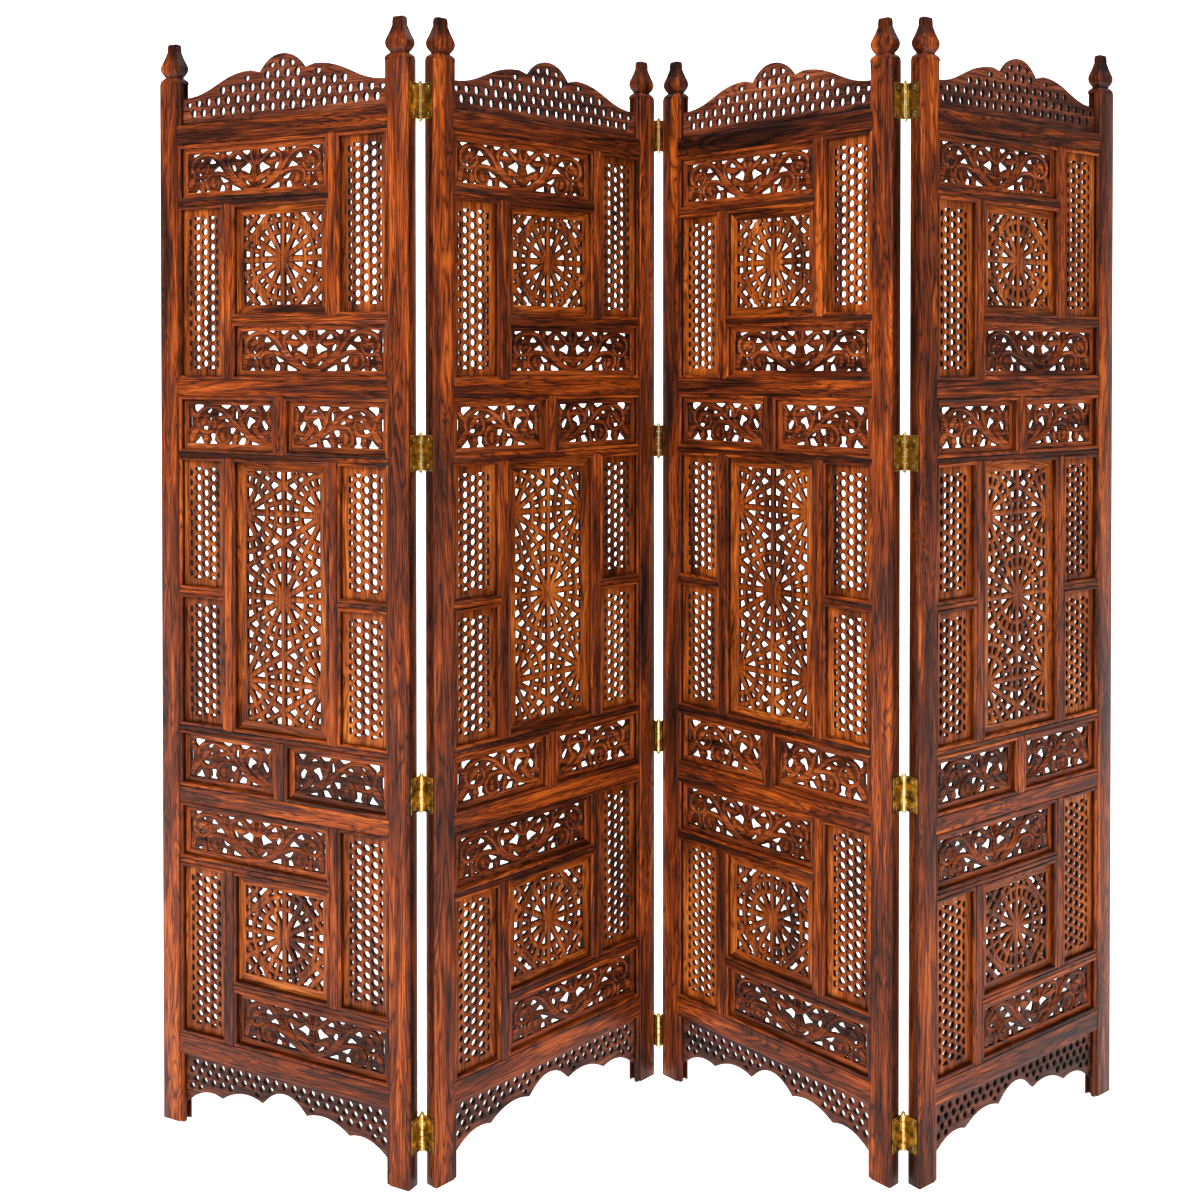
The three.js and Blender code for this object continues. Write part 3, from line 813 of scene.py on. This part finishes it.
def crest_mesh():
    """The crest's own outline: ogee shoulders, cusps and a round lobe."""
    end = crest_level + crest_end_rise
    shoulder = (crest_shoulder[0], crest_level + crest_shoulder[1])
    cusp = (crest_cusp[0], crest_level + crest_cusp[1])
    top = crest_high.z
    lean = (half_opening - shoulder[0]) * 0.45
    right = [(board_reach, end)]
    right += swing((half_opening, end), (half_opening - lean, end),
                   (shoulder[0] + lean, shoulder[1]), 12, shoulder)
    right += [shoulder]
    right += swing(cusp, (cusp[0] * 0.6, top), (0, top), 7)
    left = [(-x, z) for x, z in reversed(right)]
    rim = [(-board_reach, crest_low.z), (board_reach, crest_low.z), *right, (0, top), *left]
    edge = height_along([*right, (0, top), *left])
    levels = [crest_level + 19 + crest_row_pitch * i for i in range(hole_rows)]
    holes = rimmed_holes(10, levels, **crest_hole,
                         top_limit=lambda x: edge(x) - crest_margin,
                         low_limit=lambda x: crest_level + crest_margin)
    return together([board([rim, *holes], board_front, board_back, crest_hole_round, 2)])


def apron_mesh():
    """The apron's own outline: three lobes on each side, between cusps."""
    peak, (first, second), end = (0, apron_peak), apron_cusps, (half_opening, apron_low.z)
    swell = peak[1] - first[1]
    right = [peak]
    right += swing(peak, (first[0] / 2, peak[1]), first, 8)[1:]
    right += swing(first, ((first[0] + second[0]) / 2, first[1] + swell * 0.7), second, 8)
    right += swing(second, ((second[0] + end[0]) / 2, second[1] + swell * 0.6), end, 8)
    right += [end, (board_reach, end[1])]
    left = [(-x, z) for x, z in reversed(right[1:])]
    rim = [*left, *right, (board_reach, apron_high.z), (-board_reach, apron_high.z)]
    edge = height_along([*left, *right])
    levels = [apron_high.z - 13 - apron_row_pitch * i for i in range(hole_rows)]
    holes = rimmed_holes(11, levels, **apron_hole,
                         top_limit=lambda x: apron_high.z - apron_top_margin,
                         low_limit=lambda x: edge(x) + apron_margin)
    return together([board([rim, *holes], board_front, board_back, apron_hole_round, 2)])


# Posts, rails and beads

def stile_section(side):
    """The stile's section: a bead along its inner edge, a groove in its inner face, and rounded
    outer arrises."""
    flat = half_opening + bead_width
    bottom = half_opening + groove_depth
    points = [(bottom, groove_front), (half_opening, groove_front)]
    for front in (-1, 1):
        half = []
        for i in range(9):
            angle = math.pi * i / 8
            half.append((half_opening + stile_bead_radius - stile_bead_radius * math.cos(angle),
                         front * (half_depth - 5.2 + 3.0 * math.sin(angle))))
        half += [(flat + 0.4, front * (half_depth - 0.8)), (flat + 1.2, front * half_depth)]
        half += [(half_leaf - stile_round, front * half_depth),
                 (half_leaf - 0.8, front * (half_depth - 0.8)),
                 (half_leaf, front * (half_depth - stile_round))]
        points += half if front < 0 else half[::-1]
    points += [(half_opening, groove_back), (bottom, groove_back)]
    return [(side * x, y) for x, y in points]


# The finial: height above the shoulder, and share of the stile's section
finial_rings = [
    (-0.5, 0.93), (0, 0.93), (3, 0.92), (6, 0.86), (9, 0.7), (10.5, 0.59), (12, 0.6), (15, 0.71),
    (19, 0.83), (24, 0.9), (28, 0.9), (32, 0.85), (36, 0.77), (40, 0.69), (45, 0.6), (50, 0.52),
    (54, 0.46), (60, 0.46), (65, 0.43), (67, 0.38)]


def stile_mesh(side):
    """A post with its finial. side is -1 for the left one and 1 for the right one."""
    shoulder = finial_top - finial_rings[-1][0]
    bm = bmesh.new()
    bmesh.ops.create_grid(bm, x_segments=1, y_segments=1, size=0.5)
    bmesh.ops.scale(bm, vec=(half_leaf - half_opening, 2 * half_depth, 1), verts=bm.verts)
    top = bm.faces[:]
    reached, last = finial_rings[0]
    bmesh.ops.scale(bm, vec=(last, last, 1), verts=bm.verts)
    bmesh.ops.translate(bm, vec=(0, 0, reached), verts=bm.verts)
    for rise, share in finial_rings[1:]:
        made = bmesh.ops.extrude_face_region(bm, geom=top, use_keep_orig=reached < 0)
        verts = [v for v in made["geom"] if isinstance(v, bmesh.types.BMVert)]
        top = [f for f in made["geom"] if isinstance(f, bmesh.types.BMFace)]
        bmesh.ops.translate(bm, vec=(0, 0, rise - reached), verts=verts)
        bmesh.ops.scale(bm, vec=(share / last, share / last, 1), verts=verts)
        reached, last = rise, share
    centre = side * (half_leaf + half_opening) / 2
    bmesh.ops.translate(bm, vec=(centre, 0, shoulder), verts=bm.verts)
    post = extruded([stile_section(side)], shoulder)
    post.transform(Matrix.Translation((0, 0, shoulder / 2)))
    return together([post, finished(bm)])


def bead(x0, x1, z0, z1):
    """The mitred bead around one opening, on the edges of the bars that bound it."""
    w = bead_width
    return frame_board(rectangle(x0 - w, x1 + w, z0 - w, z1 + w), rectangle(x0, x1, z0, z1),
                       bead_setback - half_depth, half_depth - bead_setback, bead_round, 2)


def flat_bar(x0, x1, z0, z1):
    """The flat face between two beads. It reaches over the beads at its ends."""
    w = bead_width
    across = z1 - z0 > x1 - x0
    front = half_depth - rail_setback
    if across:
        return block(x0 + w, x1 - w, -front, front, z0 - w, z1 + w)
    return block(x0 - w, x1 + w, -front, front, z0 + w, z1 - w)


def outer_rail(z0, z1, bead_above):
    """The top or bottom rail: room for the bead towards the fretwork, and a chamfer on the side of
    the crest or the apron."""
    front = half_depth - rail_setback
    low, high = (z0, z1 - bead_width) if bead_above else (z0 + bead_width, z1)
    reach = half_opening + bead_width
    bm = square_block(-reach, reach, -front, front, low, high)
    outside = low if bead_above else high
    edges = [e for e in bm.edges if all(abs(v.co.z - outside) < 0.01 for v in e.verts)
             and abs(e.verts[0].co.x - e.verts[1].co.x) > 1]
    rounded(bm, edges, rail_chamfer, 4, 0.6)
    return together([finished(bm)])


# Hinges, in millimetres from the middle of the pin: X away from the leaf's edge, and Y towards the
# side that the barrel is on

hinge_height = 56
knuckle_count = 5
barrel_radius = 4.2
plate_face = -0.4
plate_back = -2.2
plate_width = 20
plate_edge = -4.6
knuckle_gap = 0.15
brass_arris = 0.35
pin_beyond = 6.5
pin_outward = 2.5
pin_tip = ((0, 1.6, 3.1, 3.3), (1.6, 4.6, 3.3, 0.7))  # from, to, and the radius at both
head_radius, head_top_radius, head_rise = 3.3, 3.0, 0.22
seat_radius = 3.9
screw_levels = (-20.5, 20.5)
screw_from_edge = 12


def turned(radius, top_radius, z0, z1, sides=20):
    bm = bmesh.new()
    bmesh.ops.create_cone(bm, cap_ends=True, segments=sides, radius1=radius, radius2=top_radius,
                          depth=z1 - z0)
    bmesh.ops.translate(bm, vec=(0, 0, (z0 + z1) / 2), verts=bm.verts)
    return bm


def on_plate(bm, y, level):
    """Lays a turned piece on the plate's face, with its axis along X."""
    bmesh.ops.rotate(bm, matrix=Matrix.Rotation(math.pi / 2, 3, "Y"), verts=bm.verts)
    bmesh.ops.translate(bm, vec=(plate_face, y, level), verts=bm.verts)
    return finished(bm)


def hinge_meshes(odd_knuckles):
    """The brass of half a hinge, and the painted shade of its screws: dark slots and dark rings."""
    half = hinge_height / 2
    end = -pin_beyond - plate_width
    brass = [block(plate_back, plate_face, end, plate_edge, -half, half, brass_arris)]
    tall = hinge_height / knuckle_count
    for i in range(knuckle_count):
        if (i % 2 == 0) != odd_knuckles:
            continue
        low = -half + tall * i + knuckle_gap
        high = low + tall - 2 * knuckle_gap
        bm = turned(barrel_radius, barrel_radius, low, high)
        rims = [e for e in bm.edges if abs(e.verts[0].co.z - e.verts[1].co.z) < 0.01]
        rounded(bm, rims, brass_arris)
        brass.append(finished(bm))
        brass.append(block(plate_back, plate_face, -4.8, -0.5, low, high, 0.2))
    if odd_knuckles:
        for near, far, r0, r1 in pin_tip:
            brass.append(finished(turned(r1, r0, -half - far, -half - near, 16)))
        for near, far, r0, r1 in pin_tip:
            brass.append(finished(turned(r0, r1, half + near, half + far, 16)))
    slots = []
    for level in screw_levels:
        y = -pin_beyond + 2 - screw_from_edge
        brass.append(on_plate(turned(head_radius, head_top_radius, 0, head_rise, 18), y, level))
        # Painted shade: a dark disc a little wider than the head, under it, and a dark block for
        # its slot
        slots.append(on_plate(turned(seat_radius, seat_radius, -0.1, 0.05, 18), y, level))
        slots.append(block(plate_face + 0.1, plate_face + 0.26, y - 2.5, y + 2.5,
                           level - 0.45, level + 0.45, 0.03))
    return together(brass), together(slots)


# Placing a piece on its leaf

def mark(mesh, along, seed):
    """Keeps where each point is on the leaf and where it is in the wood: the looks need both."""
    where = points_of(mesh)
    corner = np.empty(len(mesh.loops), np.int32)
    mesh.loops.foreach_get("vertex_index", corner)
    way = np.empty(len(mesh.polygons), np.int32)
    size = np.empty(len(mesh.polygons), np.int32)
    mesh.polygons.foreach_get("material_index", way)
    mesh.polygons.foreach_get("loop_total", size)
    mesh.polygons.foreach_set("material_index", np.zeros(len(way), np.int32))
    way = np.repeat(np.where(way == 0, UPRIGHT if along == "z" else LEVEL, way), size)
    in_wood = where[corner]
    in_wood = np.where((way == UPRIGHT)[:, None], in_wood[:, (2, 0, 1)], in_wood[:, (0, 2, 1)])
    in_wood += np.array([seed * 613.0 % 5200, seed * 271.0 % 3100, seed * 97.0 % 1900], np.float32)
    for name, domain, values in (("leaf", "POINT", where), ("grain", "CORNER", in_wood)):
        layer = mesh.attributes.new(name, "FLOAT_VECTOR", domain)
        layer.data.foreach_set("vector", np.ascontiguousarray(values, np.float32).ravel())


def lay(shape, name, number, material, node, along, seed, smooth):
    """Puts a copy of a shape on one leaf. Arrises up to smooth degrees are shaded round."""
    mesh = shape.copy()
    mesh.name = name
    mark(mesh, along, seed + number * 37)
    mesh.transform(places[number])
    mesh.shade_smooth()
    mesh.set_sharp_from_angle(angle=math.radians(smooth))
    mesh.materials.clear()
    mesh.materials.append(material)
    made = in_scene(name, mesh)
    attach(made, f"leaf_{number}")
    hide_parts(node)


def opening_of(kind, x0, x1, z0, z1, border):
    """The board for one opening, with a tongue under the bars or in a stile's groove."""
    left = -board_reach if x0 <= -half_opening else x0 - board_tongue
    right = board_reach if x1 >= half_opening else x1 + board_tongue
    box = rectangle(left, right, z0 - board_tongue, z1 + board_tongue)
    return together(kind(x0 + border, x1 - border, z0 + border, z1 - border, box))


def section(openings, bars):
    """The pieces of one section: (name, mesh, wood, way of the grain) for each board and bar, and
    the beads as one piece."""
    pieces = []
    beads = []
    for name, kind, x0, x1, z0, z1 in openings:
        border, wood, along = BOARDS[kind]
        pieces.append((name, opening_of(kind, x0, x1, z0, z1, border), wood, along))
        beads.append(bead(x0, x1, z0, z1))
    for name, x0, x1, z0, z1 in bars:
        along = "z" if z1 - z0 > x1 - x0 else "x"
        wood = rail_wood if name.startswith("thin_rail") else frame_wood
        pieces.append((name, together([flat_bar(x0, x1, z0, z1)]), wood, along))
    pieces.append(("beads", together(beads), frame_wood, "x"))
    return pieces


# The border around each kind of board's window, its wood and the way of its grain
BOARDS = {
    lattice: (lattice_border, fret_wood, "z"),
    rosette: (rosette_border, fret_wood, "z"),
    star: (rosette_border, fret_wood, "z"),
    scroll: (scroll_border, scroll_wood, "x"),
    small_scroll: (scroll_border, scroll_wood, "x"),
}

# X of the centre boards' edges, of the muntins' far edges and of the stiles
inner_x = centre_width / 2
outer_x = inner_x + muntin
stile_x = half_opening


def pinwheel(base, rail_z0):
    """Upper or lower section: two wide scrolls and two lattices around a rosette, and the wide rail
    below or above them."""
    low = base + scroll_row
    low_top = low + thin_rail
    high = low_top + rosette_row
    high_top = high + thin_rail
    top = high_top + scroll_row
    openings = [
        ("scroll_low", scroll, -inner_x, stile_x, base, low),
        ("scroll_high", scroll, -stile_x, inner_x, high_top, top),
        ("lattice_left", lattice, -stile_x, -outer_x, base, high),
        ("lattice_right", lattice, outer_x, stile_x, low_top, top),
        ("rosette", rosette, -inner_x, inner_x, low_top, high),
    ]
    bars = [
        ("muntin_left", -outer_x, -inner_x, base, high),
        ("muntin_right", inner_x, outer_x, low_top, top),
        ("thin_rail_low", -inner_x, stile_x, low, low_top),
        ("thin_rail_high", -stile_x, inner_x, high, high_top),
        ("wide_rail", -stile_x, stile_x, rail_z0, rail_z0 + wide_rail),
    ]
    return section(openings, bars)


def middle_section(base):
    """Two small scrolls, the star board between four lattices, and two small scrolls."""
    low = base + scroll_row + thin_rail
    top = low + star_row
    high = top + thin_rail
    rail = (low + top - thin_rail) / 2
    half = muntin / 2
    openings = [("star", star, -inner_x, inner_x, low, top)]
    bars = []
    for word, z0, edge in (("low", base, base + scroll_row), ("high", high, top)):
        openings.append((f"scroll_{word}_left", small_scroll, -stile_x, -half, z0, z0 + scroll_row))
        openings.append((f"scroll_{word}_right", small_scroll, half, stile_x, z0, z0 + scroll_row))
        bars.append((f"muntin_{word}", -half, half, z0, z0 + scroll_row))
        bars.append((f"thin_rail_{word}", -stile_x, stile_x, edge, edge + thin_rail))
    for word, x0, x1 in (("left", -stile_x, -outer_x), ("right", outer_x, stile_x)):
        openings.append((f"lattice_low_{word}", lattice, x0, x1, low, rail))
        openings.append((f"lattice_high_{word}", lattice, x0, x1, rail + thin_rail, top))
        bars.append((f"short_rail_{word}", x0, x1, rail, rail + thin_rail))
    bars.append(("muntin_left", -outer_x, -inner_x, low, top))
    bars.append(("muntin_right", inner_x, outer_x, low, top))
    return section(openings, bars)


# Name, mesh, wood, way of the grain, and the solid that it stands for
leaf_pieces = [
    ("post_left", stile_mesh(-1), frame_wood, "z", "stile_left"),
    ("post_right", stile_mesh(1), frame_wood, "z", "stile_right"),
    ("crest_board", crest_mesh(), edge_wood, "x", "crest"),
    ("head_rail", outer_rail(top_rail_level, crest_level, False), rail_wood, "x", "top_rail"),
    ("foot_rail", outer_rail(bottom_rail_level, lower_level, True), frame_wood, "x", "bottom_rail"),
    ("apron_board", apron_mesh(), edge_wood, "x", "apron"),
]
sections = {
    "upper": pinwheel(upper_level, middle_top),
    "middle": middle_section(lower_top),
    "lower": pinwheel(lower_level, lower_top - wide_rail),
}
for place, pieces in sections.items():
    leaf_pieces += [(f"{place}_{name}", *rest, f"fretwork_{place}") for name, *rest in pieces]

for number in LEAF_NUMBERS:
    for index, (name, mesh, wood, along, part) in enumerate(leaf_pieces):
        is_bar = wood in (frame_wood, rail_wood)
        slot, smooth = ("rosewood_frame", 40) if is_bar else ("rosewood_fretwork", 60)
        lay(mesh, f"leaf_{number}_{name}", number, wood, f"leaf_{number}_{part}",
            along, index * 3 + 1, smooth)


def lay_hinge(first, second, place):
    """Both halves of one hinge, each on its own leaf, where the CAD has them."""
    for word, number, way in (("left", first, 1), ("right", second, -1)):
        node = f"hinge_{first}_{second}_{place}_{word}"
        corners = on_leaf(node, number)
        level = (min(c.z for c in corners) + max(c.z for c in corners)) / 2
        face = 1 if max(c.y for c in corners) > half_depth else -1
        at = Vector((way * (half_leaf + pin_outward), face * (half_depth + pin_beyond), level))
        turn = Matrix.Translation(at) @ Matrix.Diagonal((way, face, 1, 1))
        brass, slots = hinge_meshes(way > 0)
        for kind, shape, finish in (("brass", brass, hinge_brass), ("slots", slots, slot_shadow)):
            shape.transform(turn)
            if way * face < 0:
                shape.flip_normals()
            lay(shape, f"{node}_{kind}", number, finish, node, "z", 0, 30)
            bpy.data.meshes.remove(shape)


for first, second in FOLDS:
    for place in range(1, 5):
        lay_hinge(first, second, place)


# Floor, backdrop, lights and camera

def sheet_of(name, size, place, material):
    bm = bmesh.new()
    bmesh.ops.create_grid(bm, x_segments=1, y_segments=1, size=size / 2)
    bmesh.ops.transform(bm, matrix=place, verts=bm.verts)
    mesh = bpy.data.meshes.new(name)
    bm.to_mesh(mesh)
    bm.free()
    mesh.materials.append(material)
    made = in_scene(name, mesh)


white = plain("white studio paper", "#ffffff", 0.9, glow=0.95)
sheet_of("floor", 24, Matrix.Translation((0, 0, -0.0005)), white)
sheet_of("backdrop", 40, Matrix.Translation((0, 9, 0)) @ upright, white)


def soft_light(name, place, size, power):
    """A round light that points at the middle of the screen."""
    light = bpy.data.lights.new(name, "AREA")
    light.shape = "DISK"
    light.size = size
    light.energy = power
    made = in_scene(name, light)
    made.location = place
    made.rotation_euler = (Vector((0, 0, 0.9)) - Vector(place)).to_track_quat("-Z", "Y").to_euler()


soft_light("window light", (-2.2, -3.4, 3.4), 1.6, 118)
soft_light("fill light", (2.6, -3.0, 2.0), 2.2, 8)
soft_light("ceiling light", (0, -1.0, 3.4), 1.6, 25)

scene = bpy.context.scene
scene.view_settings.view_transform = "Standard"
world = bpy.data.worlds.new("studio")
scene.world = world
world.use_nodes = True
feed(world.node_tree.nodes["Background"], Color=(1, 1, 1, 1), Strength=0.3)

camera_data = bpy.data.cameras.new("camera")
camera_data.sensor_width = 36
camera_data.lens = 44.33
camera_data.shift_x = -0.0273
camera_data.shift_y = -0.1833
camera = in_scene("camera", camera_data)
camera.location = (-0.0218, -2.4847, 1.2916)
camera.rotation_euler = (math.radians(89.31), 0, 0)
scene.camera = camera
